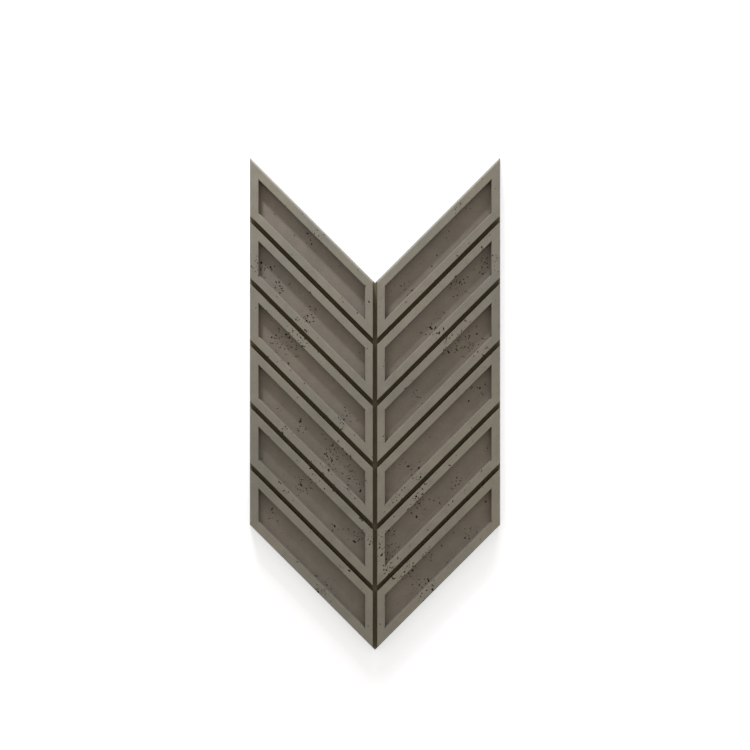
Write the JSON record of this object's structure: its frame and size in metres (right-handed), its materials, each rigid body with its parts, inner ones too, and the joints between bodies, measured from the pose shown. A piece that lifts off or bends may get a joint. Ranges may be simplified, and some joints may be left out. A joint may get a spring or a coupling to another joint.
{
  "type": "herringbone concrete wall panel",
  "caption": "Chevron-shaped cast concrete wall panel: slanted planks meet along the middle in a herringbone, deep joints part them, and each has a flat rim around a pocket.",
  "frame": {"origin": "middle of the bounding box of the back, on the wall's surface", "axes": "+X across the panel, +Y along its middle line towards the notched end, +Z out of the wall, through the patterned face"},
  "size_m": [0.4, 0.7868, 0.03],
  "materials": {
    "concrete": "raw cast concrete, warm grey, matt, cloudy, with small open air holes"
  },
  "bodies": {
    "root": {"panel": "concrete"}
  },
  "joints": []
}
